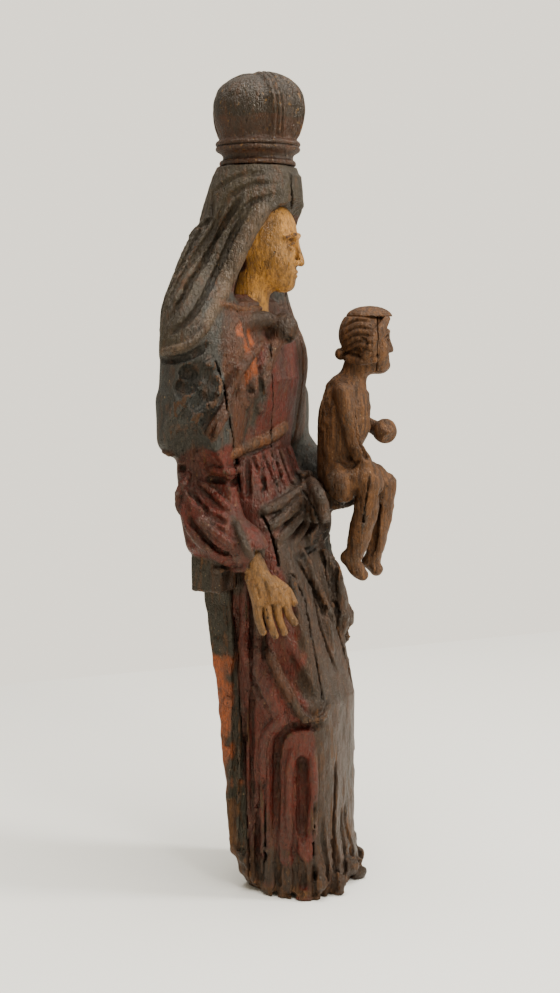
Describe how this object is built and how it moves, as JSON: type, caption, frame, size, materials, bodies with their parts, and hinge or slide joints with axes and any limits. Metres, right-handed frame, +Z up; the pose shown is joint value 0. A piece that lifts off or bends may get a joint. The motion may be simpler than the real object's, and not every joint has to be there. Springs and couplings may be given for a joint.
{
  "type": "madonna statue",
  "caption": "Carved wooden madonna and child with a loose turned crown, built from a log, a back plank, dowelled arm blocks, a separate hand and a seated child.",
  "frame": {"origin": "on the floor under the middle of the figure's base", "axes": "+Z up along the figure, the figure faces -Y, and its own left side, which carries the child, is +X"},
  "size_m": [0.2339, 0.189, 0.8025],
  "materials": {
    "red_dress": "worn dark red paint over oak, satin",
    "dark_mantle": "worn blue-black and grey-green paint over oak, satin",
    "aged_flesh": "yellowed flesh paint, satin",
    "crown_paint": "dark brown paint with traces of gilding, satin",
    "bare_wood": "bare weathered oak, waxed",
    "peg_wood": "bare oak dowel, matt"
  },
  "bodies": {
    "statue": {"trunk": "red_dress", "back_board": "dark_mantle", "right_arm_block": "dark_mantle", "left_arm_block": "dark_mantle", "right_hand": "aged_flesh", "child_body": "bare_wood", "child_face": "bare_wood", "child_cap": "bare_wood", "child_orb_arm": "bare_wood", "back_board_peg_1": "peg_wood", "back_board_peg_2": "peg_wood", "back_board_peg_3": "peg_wood", "back_board_peg_4": "peg_wood", "right_arm_peg_upper": "peg_wood", "right_arm_peg_lower": "peg_wood", "left_arm_peg_upper": "peg_wood", "left_arm_peg_lower": "peg_wood", "right_hand_pin": "peg_wood", "child_seat_peg": "peg_wood", "child_cap_peg": "peg_wood", "child_orb_arm_peg": "peg_wood"},
    "crown_peg": {"crown_peg": "peg_wood"},
    "crown": {"crown": "crown_paint"}
  },
  "joints": [
    {"name": "crown_turn", "type": "hinge", "parent": "statue", "child": "crown_peg", "pos_m": [0, 0.043, 0.7115], "axis": [0, 0, 1], "continuous": true},
    {"name": "crown_lift", "type": "slide", "parent": "crown_peg", "child": "crown", "axis": [0, 0, 1], "range_m": [0, 0.023]}
  ]
}
